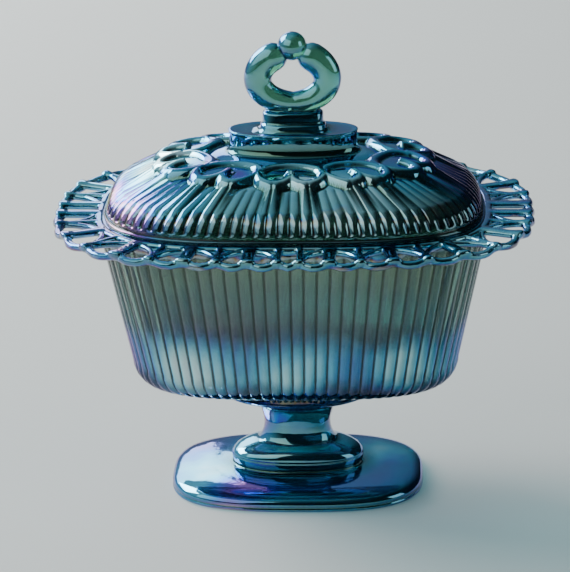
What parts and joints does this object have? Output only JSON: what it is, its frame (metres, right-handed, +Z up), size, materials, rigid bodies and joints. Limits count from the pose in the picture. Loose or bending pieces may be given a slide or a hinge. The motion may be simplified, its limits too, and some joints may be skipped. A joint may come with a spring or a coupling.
{
  "type": "covered footed candy bowl",
  "caption": "Oblong covered bowl in iridescent pressed glass on a stem and foot, with an open lace border and a ring finial on its lid.",
  "frame": {"origin": "centre of the foot's resting plane", "axes": "+X along the bowl's long way, +Y to the back across it, +Z up through the stem and the finial"},
  "size_m": [0.19, 0.14, 0.187],
  "materials": {
    "bowl_glass": "clear blue-green pressed glass with an iridescent lustre",
    "lid_glass": "clear blue-green pressed glass with an iridescent lustre"
  },
  "bodies": {
    "bowl": {"footed_bowl": "bowl_glass"},
    "lid": {"lid": "lid_glass"}
  },
  "joints": [
    {"name": "lid_lift", "type": "slide", "parent": "bowl", "child": "lid", "axis": [0, 0, 1], "range_m": [0, 0.1]}
  ]
}
